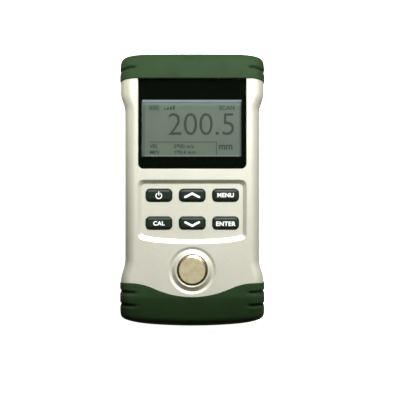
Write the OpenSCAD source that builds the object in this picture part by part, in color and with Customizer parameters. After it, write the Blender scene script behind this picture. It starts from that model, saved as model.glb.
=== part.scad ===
// Hand-held ultrasonic thickness gauge, lying on its back with the display up.
// +X runs to the right of the display, +Y towards the probe sockets and +Z out of the display.
// The origin is the centre of the plane that the two rubber boots rest on. Millimetres throughout.

/* [Overall] */
// Length over both rubber boots
overall_length = 120.5; // [119:0.5:130]
// Width over the rubber boots
overall_width = 64; // [63:0.5:70]
// Thickness over the rubber boots
overall_thickness = 27; // [27:0.5:31]
// Width of the housing at its waist
waist_width = 59.4; // [58:0.2:61]
// Radius of the long edges
edge_radius = 5.2; // [4:0.1:5.6]
// Wall of the two housing shells
wall = 2; // [1.8:0.1:2.4]

/* [Rubber boots] */
// How far the boots stand proud of the housing
boot_proud = 0.4; // [0.3:0.1:0.6]
// Wall of the boots
boot_wall = 2; // [1.6:0.1:2.4]
// Rubber over each end of the housing
boot_end = 3.2; // [2.6:0.1:4]
// Length of the top boot
top_boot_length = 11.85; // [11:0.1:14]
// Length of the bottom boot at its sides
bottom_boot_length = 19.75; // [18:0.25:21]
// How far the bottom boot's edge dips below the test block
boot_dip = 6.05; // [4.5:0.1:7]
// How far the front falls away towards each end
nose_drop = 4; // [2:0.2:5]
// Depth of the grip grooves at the boots' corners
groove_depth = 0.55; // [0.4:0.1:0.9]
// Height of a grip groove
groove_height = 2.6; // [2:0.1:3]

/* [Display] */
// Width of the display lens
lens_width = 47; // [45.8:0.1:47.2]
// Length of the display lens
lens_length = 39.2; // [38.4:0.1:40]
// Thickness of the display lens
lens_thickness = 1.2; // [1:0.1:1.5]
// Width of the clear window
window_width = 43.1; // [40:0.1:43.8]
// Height of the clear window
window_height = 25.1; // [22:0.1:25.6]
// From the lens's upper edge to the window
window_margin = 9; // [8.6:0.1:9.6]

/* [Keypad] */
// Width of a key
key_width = 11.25; // [10.5:0.05:12.2]
// Height of a key
key_height = 5.4; // [5.4:0.1:6.8]
// Distance between key columns
key_pitch_x = 14.5; // [14.2:0.1:14.6]
// Distance between key rows
key_pitch_y = 12.1; // [11.6:0.05:12.6]
// Travel of a key
key_travel = 1.2; // [0.8:0.1:1.4]
// Height of a key above the keypad floor
key_rise = 0.9; // [0.6:0.1:1.2]
// Depth of the keypad recess
keypad_depth = 1.2; // [0.8:0.1:1.4]

/* [Test block] */
// Diameter of the steel test block
block_diameter = 13.4; // [12.6:0.1:14.4]
// Thickness of the steel test block
block_thickness = 5; // [4:0.1:5.4]
// How far the test block stands above the front
block_rise = 1.3; // [1:0.1:1.6]
// From the bottom boot's edge to the block's centre
block_margin = 11.5; // [10.4:0.05:11.6]

/* [Probe sockets] */
// Distance between the two probe sockets
socket_pitch = 18; // [16:0.5:22]
// Bore of a probe socket
socket_bore = 5.1; // [4.6:0.1:5.4]
// Depth of the clear bore
socket_depth = 5; // [4:0.1:5.4]
// Flange diameter of a probe socket
socket_flange = 8; // [7.6:0.1:8.6]

/* [Battery] */
// Diameter of a cell
cell_diameter = 14.5; // [14:0.1:14.8]
// Length of a cell over its button
cell_length = 50.5; // [49.5:0.1:51]

/* [Hidden] */
$fn = 48;

// Clearances
fit = 0.1;
running = 0.25;
overlap = 0.5;

// Layout along the length: the listed sizes share out the overall length
half_length = overall_length / 2;
panel_gap = 4.75;
key_margin_top = 4.1;
key_margin_bottom = 4.5;
recess_half = 23.7;
recess_sweep = 170;
recess_sag = recess_sweep - sqrt(recess_sweep ^ 2 - recess_half ^ 2);
block_gap = 1.44;
boss_land = 0.75;
boss_slope = 1.4;
dish_flat = 0.5;
dish_slope = 0.85;
stack_length = top_boot_length + fit + lens_length + panel_gap
    + key_margin_top + key_height + key_pitch_y + key_margin_bottom
    + recess_sag + block_gap + block_diameter / 2 + boss_land + boss_slope + dish_flat + dish_slope
    + block_margin + bottom_boot_length - boot_dip;
stretch = overall_length / stack_length;
top_seam = half_length - top_boot_length * stretch;
lens_bottom = top_seam - fit - lens_length * stretch;
recess_top = lens_bottom - panel_gap * stretch;
key_tall = key_height * stretch;
row_pitch = key_pitch_y * stretch;
first_row = recess_top - key_margin_top * stretch - key_tall / 2;
recess_bottom = first_row - row_pitch - key_tall / 2 - key_margin_bottom * stretch;
block_radius = block_diameter / 2 * stretch;
boss_top = block_radius + boss_land * stretch;
boss_foot = boss_top + boss_slope * stretch;
dish_floor = boss_foot + dish_flat * stretch;
dish_edge = dish_floor + dish_slope * stretch;
block_y = recess_bottom - (recess_sag + block_gap) * stretch - dish_edge;
dip_seam = block_y - block_margin * stretch;
side_seam = dip_seam + boot_dip * stretch;

// Master form: the outside of the boots, and by insets the housing, its necks and its cavity
front_z = overall_thickness - boot_proud;
rear_z = boot_proud;
split_z = overall_thickness * 13 / 27;
end_half = overall_width / 2;
waist_half = waist_width / 2 + boot_proud;
side_draft = 0.3;
top_flare = 8 * stretch;
top_flare_start = top_seam - 14.3 * stretch;
bottom_flare = 9.4 * stretch;
bottom_flare_start = side_seam + 10 * stretch;
plan_close = 9;
plan_power = 6;
side_close = 5;
side_power = 3;
top_bulge = 0.2;
bottom_bulge = 2.2;
top_hang = 1.4;
hang_start = 0.7875;
neck_inset = boot_wall + fit;
neck_end = half_length - boot_end - fit;
cavity_inset = boot_proud + wall;
groove_reach = end_half * hang_start;
groove_fade = 1.2;
top_groove = half_length - 6.65 * stretch;
bottom_grooves = [-half_length + 15.25 * stretch, -half_length + 9.55 * stretch];

// Battery bay and door in the rear shell
cell_gap = 0.6;
bay_wall = 1.2;
spring_room = 5.2;
plate_room = 1;
door_thickness = 1.1;
door_ledge = 0.8;
door_margin = 2.4;
door_corner = 1.5;
bay_offset = 2.9;
cell_sink = 0.2;
cell_clear = 0.15;
bay_half = cell_diameter + cell_gap * 1.5;
bay_lower = side_seam + bay_offset;
bay_upper = bay_lower + cell_length + spring_room + plate_room;
ledge_inner = rear_z + door_thickness + fit + door_ledge;
cell_z = ledge_inner + cell_diameter / 2 - cell_sink;
cell_x = cell_diameter / 2 + cell_gap / 2;
bay_ceiling = cell_z + cell_diameter / 2 + cell_clear;
bay_roof = 0.8;
bay_top = bay_ceiling + bay_roof;
door_half = bay_half + door_margin;
barrel_radius = 1.4;
door_pivot_y = bay_lower - door_margin + barrel_radius;
door_pivot_z = rear_z + barrel_radius;
hinge_pin = 0.7;
hinge_pin_length = 1.6;
hinge_pad = 3.4;
hinge_pad_run = 5;
hinge_pad_rise = 2.2;
latch_half = 5;
latch_thickness = 1;
latch_reach = 3;
scoop_radius = 7;
scoop_depth = 0.9;
wire = 0.6;
coil_base = 4.6;
coil_top = 3.2;
contact_half = 5.4;
contact_drop = 4;
contact_metal = 0.4;
contact_bump = 1.6;
button_radius = 2.7;
button_height = 1.4;
cell_edge = 0.5;

// Stack from the front to the board, squeezed into the room above the battery bay
lens_sink = 0.1;
ledge_full = 0.7;
gasket_full = 0.3;
lcd_full = 2;
backlight_full = 1.8;
board_gap_full = 0.2;
board_full = 1.6;
board_clear = 0.95;
squeeze = (front_z - lens_sink - fit - bay_top - board_clear)
    / (lens_thickness + ledge_full + gasket_full + lcd_full + backlight_full + board_gap_full + board_full);
lens_depth = lens_thickness * squeeze;
ledge = ledge_full * squeeze;
ledge_z = front_z - lens_sink - lens_depth - fit - ledge;
lcd_z = ledge_z - gasket_full * squeeze;
lcd_thickness = lcd_full * squeeze;
board_gap = board_gap_full * squeeze;
board_top = lcd_z - lcd_thickness - backlight_full * squeeze - board_gap;
board_z = board_top - board_full * squeeze;

// Display
lens_corner = 2.2;
window_tall = window_height * stretch;
window_y = top_seam - fit - window_margin * stretch - window_tall / 2;
window_gap = 0.3;
lcd_rim = 1;
lcd_half_width = window_width / 2 + lcd_rim;
lcd_half_height = window_tall / 2 + lcd_rim;
holder_wall = 1.2;
zebra_width = 1.8;
zebra_inset = 2;
pad_margin = 1.6;

// Keypad
recess_slope = 1.7;
recess_corner = 2.6;
recess_floor = front_z - keypad_depth * squeeze;
keypad_wall = 1.6 * squeeze;
keypad_inside = recess_floor - keypad_wall;
key_corner = 1.8;
key_lip = 0.9;
key_lip_thickness = 0.8 * squeeze;
key_plunger = 2;
key_edge = 1.5;
mat_thickness = 1 * squeeze;
mat_rim = 1.4;
mat_hole_gap = 0.4;

// Test block and the cup that holds it
block_chamfer = 1;
block_top = front_z + block_rise;
boss_rise = 0.9;
dish_depth = 0.5;
cup_wall = 1.5;

// Board
board_half = 25;
board_corner = 1.5;
board_upper = top_seam - 2.4;
board_lower = recess_bottom - 3.2;
board_post = 2.6;
board_screw = 1.1;
board_screw_head = 2;
board_screw_height = 1.2;
board_screw_end = 0.8;
board_post_x = 22.3;
board_posts_y = [lens_bottom - 1.2, recess_bottom - 0.6];
chip_gap = 3;
chip_side = 10;
chip_height = 1.5;
memory_length = 7;
memory_width = 5;
coil_length = 8;
coil_width = 5;
coil_height = 3;
capacitor_radius = 2.1;
capacitor_height = 4.5;

// Case screws
screw_x = 22.8;
screws_y = [side_seam + 4.3 * stretch, top_seam - 3.6];
screw_shank = 1.25;
screw_head = 2.3;
screw_head_height = 1.6;
screw_counterbore = 2.2;
post_radius = 2.8;
screw_grip = 7;

// Probe sockets
socket_z = split_z;
socket_thread = 3.5;
socket_flange_length = 2.3;
socket_tail = 9;
socket_chamfer = 0.4;
socket_seat = neck_end + fit / 2;
socket_mouth = socket_seat + socket_flange_length;
insulator_radius = 1.65;
insulator_tail = 1;
contact_radius = 0.5;
contact_depth = 3;
nut_radius = 5;
nut_thickness = 2.5;
end_wall = 2;
lead_radius = 0.9;
lead_bend = 3;
lead_run = 1.5;

// Smooth step from 0 to 1
function blend(t) = t <= 0 ? 0 : t >= 1 ? 1 : (1 - cos(180 * t)) / 2;
// Superellipse that closes an end: 0 at the tip, 1 a distance c inside it
function closing(e, c, p) = e >= c ? 1 : e <= 0 ? 0 : pow(1 - pow((c - e) / c, p), 1 / p);
// Half width of the master form along the length
function half_width(y) = waist_half + (end_half - waist_half) * max(
    blend((y - top_flare_start) / top_flare), blend((bottom_flare_start - y) / bottom_flare));
// Fall of the front towards an end
function nose(y) = let (start = y > 0 ? top_seam : -dip_seam)
    nose_drop * pow(max(0, (abs(y) - start) / (half_length - start)), 1.2);
function tip_distance(y, d) = half_length - d - abs(y);
function section_half(y, d) = (half_width(y) - d) * closing(tip_distance(y, d), plan_close, plan_power);
function section_front(y, d) = split_z + (overall_thickness - nose(y) - d - split_z)
    * closing(tip_distance(y, d), side_close, side_power);
function section_rear(y, d) = split_z - (split_z - d) * closing(tip_distance(y, d), side_close, side_power);
function section_radius(height, hw, d) = min(max(1.2, edge_radius - d), 0.9 * height, 0.6 * hw);
function bow(x, y, d) = (y > 0 ? -top_bulge : bottom_bulge)
    * max(0, 1 - tip_distance(y, d) / plan_close) * pow(x / end_half, 2);
// How far the edge and the groove of the top boot hang at the sides, where u is 1
function hang(u, y) = top_hang * pow(max(0, (abs(u) - hang_start) / (1 - hang_start)), 2)
    * blend((y - top_seam) / wall + 1) * blend((half_length - y) / (half_length - top_groove));

// One side of a section, from +X to -X over the front (side = 1) or the rear (side = -1).
// Its open edge lies a distance past beyond the parting plane.
function half_ring(y, d, side, n, flats, past = 0) = let (
        hw = section_half(y, d),
        z = side > 0 ? section_front(y, d) : section_rear(y, d),
        r = section_radius(abs(z - split_z), hw, d),
        cx = hw - side_draft * abs(z - split_z) / split_z - r,
        cz = z - side * r,
        ring = concat(
            [[hw, split_z - side * past]],
            [for (i = [0:n]) [cx + r * cos(90 * i / n), cz + side * r * sin(90 * i / n)]],
            [for (f = flats) [cx * f, z]],
            [for (i = [n:-1:0]) [-cx - r * cos(90 * i / n), cz + side * r * sin(90 * i / n)]],
            [[-hw, split_z - side * past]]))
    [for (p = ring) [p[0], y + bow(p[0], y, d) - hang(p[0] / hw, y), p[1]]];
function reversed(list) = [for (i = [len(list) - 1:-1:0]) list[i]];
function whole_ring(y, d, n, flats) = let (rear = reversed(half_ring(y, d, -1, n, flats)))
    concat(half_ring(y, d, 1, n, flats), [for (i = [1:len(rear) - 2]) rear[i]]);
function ring(y, d, side, n, flats, past) =
    side == 0 ? whole_ring(y, d, n, flats) : side > 0 ? half_ring(y, d, 1, n, flats, past)
    : reversed(half_ring(y, d, -1, n, flats, past));

// Grip grooves: 1 at the bottom of a groove, 0 outside it
function groove(y, centres) = max([for (c = centres) max(0, min(1, 2 - 4 * abs(y - c) / groove_height))]);
function grooved_ring(y, n, flats, centres) = let (
        outer = whole_ring(y, 0, n, flats),
        inner = whole_ring(y, groove_depth, n, flats),
        g = groove(y, centres))
    [for (i = [0:len(outer) - 1]) outer[i] + (inner[i] - outer[i]) * g
        * blend((abs(outer[i][0]) - groove_reach + groove_fade) / groove_fade)];

// Stations along the length, closer together where the form bends
tip_steps = [6.5, 5, 3.6, 2.5, 1.6, 0.9, 0.4, 0.1];
flare_steps = [for (i = [0:8]) i / 8];
function between(list, y0, y1) = concat([y0], [for (y = list) if (y > y0 + 0.05 && y < y1 - 0.05) y], [y1]);
function knots(d) = concat(
    [for (e = reversed(tip_steps)) d + e - half_length], [dip_seam],
    [for (t = flare_steps) bottom_flare_start - bottom_flare * (1 - t)],
    [for (t = flare_steps) top_flare_start + top_flare * t], [top_seam],
    [for (e = tip_steps) half_length - d - e]);

// Solid skin over a list of rings, closed at both ends by a fan about the two given points
module loft(rings, ends) {
    m = len(rings[0]);
    k = len(rings);
    sides = [for (j = [0:k - 2], i = [0:m - 1]) let (a = j * m + i, b = j * m + (i + 1) % m)
        each [[a, b, b + m], [a, b + m, a + m]]];
    first = [for (i = [0:m - 1]) [m * k, (i + 1) % m, i]];
    last = [for (i = [0:m - 1]) [m * k + 1, m * (k - 1) + i, m * (k - 1) + (i + 1) % m]];
    polyhedron(points = concat([for (r = rings) each r], ends), faces = concat(sides, first, last));
}
function middle(points, y) = let (z = [for (p = points) p[2]]) [0, y, (min(z) + max(z)) / 2];

boot_flats = [0.955, 0.905, 0.6, 0.3, 0, -0.3, -0.6, -0.905, -0.955];
shell_flats = [0.5, 0, -0.5];

// Part of the master form, inset by d, between y0 and y1
// Side 1 is the front half, -1 the rear half and 0 both
module form(d, y0, y1, side, n = 8, flats = shell_flats, past = 0) {
    rings = [for (y = between(knots(d), y0, y1)) ring(y, d, side, n, flats, past)];
    loft(rings, [middle(rings[0], y0), middle(rings[len(rings) - 1], y1)]);
}

// Edge of the bottom boot: a middle arc and two outer arcs that run out level at the sides
edge_run = 27.6;
edge_angle = 2 * atan(boot_dip / edge_run);
edge_sum = edge_run / sin(edge_angle);
edge_mid = edge_sum * 0.605;
edge_side = edge_sum - edge_mid;
function edge_y(x) = abs(x) < edge_mid * sin(edge_angle) ? dip_seam + edge_mid - sqrt(edge_mid ^ 2 - x ^ 2)
    : abs(x) < edge_run ? side_seam - edge_side + sqrt(edge_side ^ 2 - (edge_run - abs(x)) ^ 2) : side_seam;
edge_steps = 24;

// Everything on one side of that edge, moved by a gap: away = 1 is above it, -1 below it
module beyond_edge(gap, away) {
    reach = away * half_length;
    translate([0, gap, -overlap])
        linear_extrude(overall_thickness + 2 * overlap)
            polygon(concat(
                [[-end_half - 1, side_seam + reach], [-end_half - 1, side_seam]],
                [for (i = [0:edge_steps]) let (x = edge_run * (2 * i / edge_steps - 1)) [x, edge_y(x)]],
                [[end_half + 1, side_seam], [end_half + 1, side_seam + reach]]));
}

// Rectangle with round corners, between two corners
module round_rect(x0, y0, x1, y1, r) {
    translate([x0 + r, y0])
        square([x1 - x0 - 2 * r, y1 - y0]);
    translate([x0, y0 + r])
        square([x1 - x0, y1 - y0 - 2 * r]);
    for (x = [x0 + r, x1 - r], y = [y0 + r, y1 - r])
        translate([x, y])
            circle(r);
}

// Flat plate with that outline, from z0 to z1
module plate(half_x, y0, y1, r, z0, z1) {
    translate([0, 0, z0])
        linear_extrude(z1 - z0)
            round_rect(-half_x, y0, half_x, y1, r);
}

// Plain box from one corner to the other
module box(from, to) {
    translate(from)
        cube(to - from);
}

// Upright cylinder from z0 to z1
module post(x, y, r, z0, z1) {
    translate([x, y, z0])
        cylinder(r = r, h = z1 - z0);
}

// Cylinder along the length, from y0 to y1
module along(x, z, r, y0, y1) {
    translate([x, y0, z])
        rotate([-90, 0, 0])
            cylinder(r = r, h = y1 - y0);
}

// Plate the size of the display panel, grown by a gap
module lcd_plate(gap, corner, low, high) {
    reach = lcd_half_height + gap;
    plate(lcd_half_width + gap, window_y - reach, window_y + reach, corner, low, high);
}

// Cylinder across the width, from -half to half
module across(y, z, r, half) {
    translate([-half, y, z])
        rotate([0, 90, 0])
            cylinder(r = r, h = 2 * half);
}

// Display lens outline: round corners at the lower end only
module lens_outline(gap, top) {
    w = lens_width / 2 + gap;
    low = lens_bottom - gap;
    round_rect(-w, low, w, low + 4 * lens_corner, lens_corner + gap);
    translate([-w, low + 2 * lens_corner])
        square([2 * w, top - low - 2 * lens_corner]);
}

// Outline of the keypad recess, inset by d: straight top, bottom bowed outwards
function recess_outline(d) = let (
        w = recess_half - d,
        r = recess_corner - d / 2,
        top = recess_top - d,
        sag = recess_sag * stretch,
        low = recess_bottom + d)
    concat(
        [for (a = [0:15:90]) [w - r + r * cos(a), top - r + r * sin(a)]],
        [for (a = [90:15:180]) [-w + r + r * cos(a), top - r + r * sin(a)]],
        [for (a = [180:15:255]) [-w + r + r * cos(a), low + r + r * sin(a)]],
        [for (i = [1:11]) let (x = (w - r) * (i / 6 - 1))
            [x, low - sag * (1 - (x / w) ^ 2)]],
        [for (a = [285:15:345]) [w - r + r * cos(a), low + r + r * sin(a)]]);

module keypad_recess() {
    slope = recess_slope / (front_z - recess_floor);
    hull() {
        translate([0, 0, recess_floor])
            linear_extrude(0.01)
                polygon(recess_outline(recess_slope));
        translate([0, 0, front_z + overlap - 0.01])
            linear_extrude(0.01)
                polygon(recess_outline(-overlap * slope));
    }
}

// Key positions, row by row from the upper left
function key_x(column) = (column - 1) * key_pitch_x;
function key_y(row) = first_row - row * row_pitch;

module key_outline(column, row, gap) {
    w = key_width / 2 + gap;
    h = key_tall / 2 + gap;
    round_rect(key_x(column) - w, key_y(row) - h, key_x(column) + w, key_y(row) + h, key_corner + gap);
}

// Colours
housing_colour = [0.87, 0.86, 0.8];
rubber_colour = [0.22, 0.3, 0.18];
black = [0.05, 0.06, 0.05];
key_colour = [0.12, 0.15, 0.13];
steel = [0.74, 0.72, 0.64];
brass = [0.8, 0.66, 0.32];

module shell_skin(side) {
    difference() {
        union() {
            difference() {
                form(boot_proud, dip_seam - 1, top_seam, side);
                beyond_edge(0, -1);
            }
            form(neck_inset, -neck_end, side_seam + 1, side);
            form(neck_inset, top_seam - 1, neck_end, side);
        }
        form(cavity_inset, side_seam + wall, top_seam - wall, side, 5, [0], overlap);
        neck_cavity();
        for (x = [-1, 1])
            along(x * socket_pitch / 2, socket_z, socket_thread + fit, neck_end - 2 * end_wall,
                neck_end + overlap);
    }
}

module neck_cavity() {
    inner = neck_end - end_wall;
    w = section_half(inner, neck_inset) - 1.5 * wall;
    rotate([90, 0, 0])
        translate([0, 0, -inner])
            linear_extrude(2 * inner)
                round_rect(-w, section_rear(inner, neck_inset) + wall, w,
                    section_front(inner, neck_inset) - wall, 1.5 * wall);
}

module front_shell() color(housing_colour) {
    inner = front_z - wall;
    lens_half = lens_width / 2 + overlap;
    window_half = window_width / 2 + window_gap;
    difference() {
        union() {
            difference() {
                shell_skin(1);
                translate([0, block_y, front_z])
                    rotate_extrude()
                        polygon([[0, -dish_depth], [dish_floor, -dish_depth], [dish_edge, 0],
                            [dish_edge, overlap], [0, overlap]]);
            }
            box([-lens_half, lens_bottom - pad_margin, ledge_z],
                [lens_half, top_seam - wall + fit, inner + overlap]);
            box([-recess_half, recess_bottom - pad_margin, keypad_inside],
                [recess_half, lens_bottom - pad_margin / 2, inner + overlap]);
            post(0, block_y, block_radius + fit + cup_wall, block_top - block_thickness - cup_wall,
                inner + overlap);
            translate([0, block_y, front_z])
                rotate_extrude()
                    polygon([[0, -dish_depth - overlap], [boss_foot, -dish_depth - overlap],
                        [boss_foot, -dish_depth], [boss_top, boss_rise], [0, boss_rise]]);
            for (x = [-1, 1], y = screws_y)
                post(x * screw_x, y, post_radius, split_z, inner + overlap);
            for (x = [-1, 1], y = board_posts_y)
                post(x * board_post_x, y, board_post, board_top + fit / 2, inner + overlap);
        }
        translate([0, 0, ledge_z + ledge])
            linear_extrude(front_z - ledge_z)
                lens_outline(fit, top_seam + overlap);
        box([-window_half, window_y - window_tall / 2 - window_gap, ledge_z - overlap],
            [window_half, window_y + window_tall / 2 + window_gap, front_z]);
        lcd_plate(2 * fit + holder_wall, holder_wall, board_top, ledge_z);
        keypad_recess();
        translate([0, 0, keypad_inside - overlap])
            linear_extrude(front_z - keypad_inside)
                for (column = [0:2], row = [0:1])
                    key_outline(column, row, running);
        post(0, block_y, block_radius + fit / 2, block_top - block_thickness - fit / 2, block_top);
        for (x = [-1, 1], y = screws_y)
            post(x * screw_x, y, screw_shank + fit / 2, split_z - overlap, split_z + screw_grip + fit);
        for (x = [-1, 1], y = board_posts_y)
            post(x * board_post_x, y, board_screw + fit / 2, board_top - overlap,
                keypad_inside - board_screw_end / 2);
    }
}

module rear_shell() color(housing_colour) {
    inner = rear_z + wall;
    recess_low = bay_lower - door_margin;
    recess_high = bay_upper + door_margin;
    pad_z = door_pivot_z + hinge_pad_rise;
    difference() {
        union() {
            shell_skin(-1);
            box([-bay_half - bay_wall, bay_lower - bay_wall, inner - overlap],
                [bay_half + bay_wall, bay_upper + bay_wall, bay_top]);
            for (x = [-1, 1], y = screws_y)
                post(x * screw_x, y, post_radius, inner - overlap, split_z - fit);
            for (x = [-1, 1])
                translate([x * (door_half + hinge_pad / 2), door_pivot_y, (inner - overlap + pad_z) / 2])
                    cube([hinge_pad, hinge_pad_run, pad_z - inner + overlap], center = true);
        }
        box([-bay_half, bay_lower, -overlap], [bay_half, bay_upper, bay_ceiling]);
        translate([0, 0, -overlap])
            linear_extrude(rear_z + door_thickness + fit + overlap)
                round_rect(-door_half, recess_low + overlap, door_half, recess_high, door_corner);
        across(door_pivot_y, door_pivot_z, barrel_radius + running, door_half);
        box([-door_half, door_pivot_y - barrel_radius - running, -overlap],
            [door_half, door_pivot_y, door_pivot_z]);
        across(door_pivot_y, door_pivot_z, hinge_pin + fit, door_half + hinge_pin_length + running);
        post(0, recess_high, scoop_radius, -overlap, rear_z + scoop_depth);
        for (x = [-1, 1], y = screws_y) {
            post(x * screw_x, y, screw_head + running, -overlap, rear_z + screw_counterbore + running);
            post(x * screw_x, y, screw_shank + running, 0, split_z);
        }
    }
}

module top_boot() color(rubber_colour) {
    start = top_seam + fit;
    edges = [for (k = [-2, -1, 1, 2]) top_groove + k * groove_height / 4];
    tips = [for (e = tip_steps) if (half_length - e > edges[3] + 0.3) half_length - e];
    stations = between(concat(edges, tips), start, half_length - 0.1);
    rings = [for (y = stations) grooved_ring(y, 8, boot_flats, [top_groove])];
    difference() {
        loft(rings, [middle(rings[0], start), middle(rings[len(rings) - 1], half_length)]);
        form(boot_wall, top_seam - 1, half_length - boot_end, 0);
        for (x = [-1, 1])
            along(x * socket_pitch / 2, socket_z, socket_flange / 2 + running, half_length - boot_end - 1,
                half_length + 1);
    }
}

module bottom_boot() color(rubber_colour) {
    edges = [for (c = reversed(bottom_grooves), k = [-2, -1, 1, 2]) c + k * groove_height / 4];
    tips = [for (e = reversed(tip_steps)) if (e - half_length < edges[0] - 0.3) e - half_length];
    stations = between(concat(tips, edges), 0.1 - half_length, side_seam);
    rings = [for (y = stations) grooved_ring(y, 8, boot_flats, bottom_grooves)];
    difference() {
        loft(rings, [middle(rings[0], -half_length), middle(rings[len(rings) - 1], side_seam)]);
        beyond_edge(-fit, 1);
        form(boot_wall, boot_end - half_length, side_seam + 1, 0);
    }
}

module display_lens() color(black) {
    translate([0, 0, ledge_z + ledge + fit])
        linear_extrude(lens_depth)
            lens_outline(0, top_seam);
}

module lens_gasket() color([0.2, 0.2, 0.2]) {
    half_x = window_width / 2 + 2 * fit;
    half_y = window_tall / 2 + 2 * fit;
    difference() {
        lcd_plate(0, lcd_rim / 2, lcd_z + fit / 2, ledge_z);
        box([-half_x, window_y - half_y, lcd_z - overlap], [half_x, window_y + half_y, ledge_z + overlap]);
    }
}

module lcd_panel() color([0.45, 0.49, 0.45]) {
    lcd_plate(0, lcd_rim / 3, lcd_z - lcd_thickness, lcd_z);
}

module lcd_backlight() color([0.92, 0.93, 0.9]) {
    half_y = lcd_half_height - zebra_inset - fit;
    plate(lcd_half_width - lcd_rim / 2, window_y - half_y, window_y + half_y, lcd_rim / 3,
        board_top + board_gap, lcd_z - lcd_thickness - fit / 2);
}

module lcd_holder() color([0.9, 0.9, 0.86]) {
    difference() {
        lcd_plate(fit + holder_wall, holder_wall, board_top + fit / 2, lcd_z);
        lcd_plate(fit, lcd_rim / 3, board_top - overlap, lcd_z + overlap);
    }
}

module zebra_strips() color([0.3, 0.3, 0.34]) {
    half = lcd_half_width - zebra_inset;
    for (side = [-1, 1])
        translate([0, window_y + side * (lcd_half_height - zebra_width / 2 - fit), 0])
            box([-half, -zebra_width / 2, board_top + fit / 2],
                [half, zebra_width / 2, lcd_z - lcd_thickness - fit / 2]);
}

module main_board() color([0.1, 0.32, 0.16]) {
    difference() {
        plate(board_half, board_lower, board_upper, board_corner, board_z, board_top);
        for (x = [-1, 1]) {
            post(x * screw_x, screws_y[1], post_radius + running, board_z - overlap, board_top + overlap);
            for (y = board_posts_y)
                post(x * board_post_x, y, board_screw + running, board_z - overlap, board_top + overlap);
        }
    }
}

// Under the board past the battery bay: processor between the probe leads, the rest outside them
module board_components() color([0.08, 0.08, 0.09]) {
    low = bay_upper + bay_wall + chip_gap;
    top = board_z - fit / 2;
    side = socket_pitch / 2 + lead_radius + chip_gap / 2;
    next = low + memory_width + chip_gap + capacitor_radius;
    box([-chip_side / 2, low, top - chip_height], [chip_side / 2, low + chip_side, top]);
    box([-side - memory_length, low, top - chip_height], [-side, low + memory_width, top]);
    box([side, low, top - coil_height], [side + coil_length, low + coil_width, top]);
    for (k = [-1, 1])
        post(k * (side + capacitor_radius), next, capacitor_radius, top - capacitor_height, top);
}

module keypad_mat() color([0.2, 0.22, 0.2]) {
    z = board_top + fit / 2;
    edge = key_tall / 2 + mat_rim;
    top = z + mat_thickness;
    difference() {
        union() {
            plate(recess_half - mat_rim, key_y(1) - edge, key_y(0) + edge, mat_rim, z, top);
            for (column = [0:2], row = [0:1])
                post(key_x(column), key_y(row), key_plunger + mat_rim, z + mat_thickness / 2, top + 2 * fit);
        }
        for (column = [0:2], row = [0:1])
            post(key_x(column), key_y(row), key_plunger + mat_hole_gap, board_top - overlap, top + overlap);
    }
}

// Side view of a key's cap: round upper edges, with a little room at the sides
module key_profile(half, low, top) {
    side = half + fit;
    round_rect(-side, low - key_edge, side, top, key_edge);
}

// One key: cap with round edges, lip that holds it behind the front shell, and plunger
module key(column, row) color(key_colour) {
    lip_top = keypad_inside - fit;
    low = lip_top - overlap;
    top = recess_floor + key_rise;
    intersection() {
        translate([0, 0, low])
            linear_extrude(top - low + overlap)
                key_outline(column, row, 0);
        translate([key_x(column), key_y(row) + key_tall, 0])
            rotate([90, 0, 0])
                linear_extrude(2 * key_tall)
                    key_profile(key_width / 2, low, top);
        translate([key_x(column) - key_width, key_y(row), 0])
            rotate([90, 0, 90])
                linear_extrude(2 * key_width)
                    key_profile(key_tall / 2, low, top);
    }
    translate([0, 0, lip_top - key_lip_thickness])
        linear_extrude(key_lip_thickness)
            key_outline(column, row, key_lip);
    post(key_x(column), key_y(row), key_plunger, board_top + key_travel + fit,
        lip_top - key_lip_thickness / 2);
}

module key_power() {
    key(0, 0);
}

module key_up() {
    key(1, 0);
}

module key_menu() {
    key(2, 0);
}

module key_cal() {
    key(0, 1);
}

module key_down() {
    key(1, 1);
}

module key_enter() {
    key(2, 1);
}

module test_block() color(steel) {
    r = block_radius;
    translate([0, block_y, block_top - block_thickness])
        rotate_extrude()
            polygon([[0, 0], [r, 0], [r, block_thickness - block_chamfer * 0.6],
                [r - block_chamfer, block_thickness], [0, block_thickness]]);
}

// Turned socket: flange outside the end wall, threaded barrel through it, stepped bore
module probe_socket(x) color(brass) {
    back = neck_end - socket_tail;
    rim = socket_flange / 2;
    tube = insulator_radius + fit / 2;
    step = socket_mouth - socket_depth;
    translate([x, 0, socket_z])
        rotate([-90, 0, 0])
            rotate_extrude()
                polygon([[tube, back], [socket_thread, back], [socket_thread, socket_seat],
                    [rim, socket_seat], [rim, socket_mouth - socket_chamfer],
                    [rim - socket_chamfer, socket_mouth], [socket_bore / 2, socket_mouth],
                    [socket_bore / 2, step], [tube, step]]);
}

module probe_socket_left() {
    probe_socket(-socket_pitch / 2);
}

module probe_socket_right() {
    probe_socket(socket_pitch / 2);
}

module socket_insulators() color([0.93, 0.93, 0.9]) {
    face = socket_mouth - socket_depth - fit / 2;
    back = neck_end - socket_tail - insulator_tail;
    for (x = [-1, 1])
        translate([x * socket_pitch / 2, 0, socket_z])
            rotate([-90, 0, 0])
                rotate_extrude()
                    polygon([[0, back], [insulator_radius, back], [insulator_radius, face],
                        [contact_radius, face], [contact_radius, face - contact_depth],
                        [0, face - contact_depth]]);
}

module socket_nuts() color(steel) {
    for (x = [-1, 1])
        translate([x * socket_pitch / 2, neck_end - end_wall - fit / 2 - nut_thickness, socket_z])
            rotate([-90, 0, 0])
                difference() {
                    cylinder(r = nut_radius, h = nut_thickness, $fn = 6);
                    translate([0, 0, -overlap])
                        cylinder(r = socket_thread + fit / 2, h = nut_thickness + 2 * overlap);
                }
}

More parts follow.
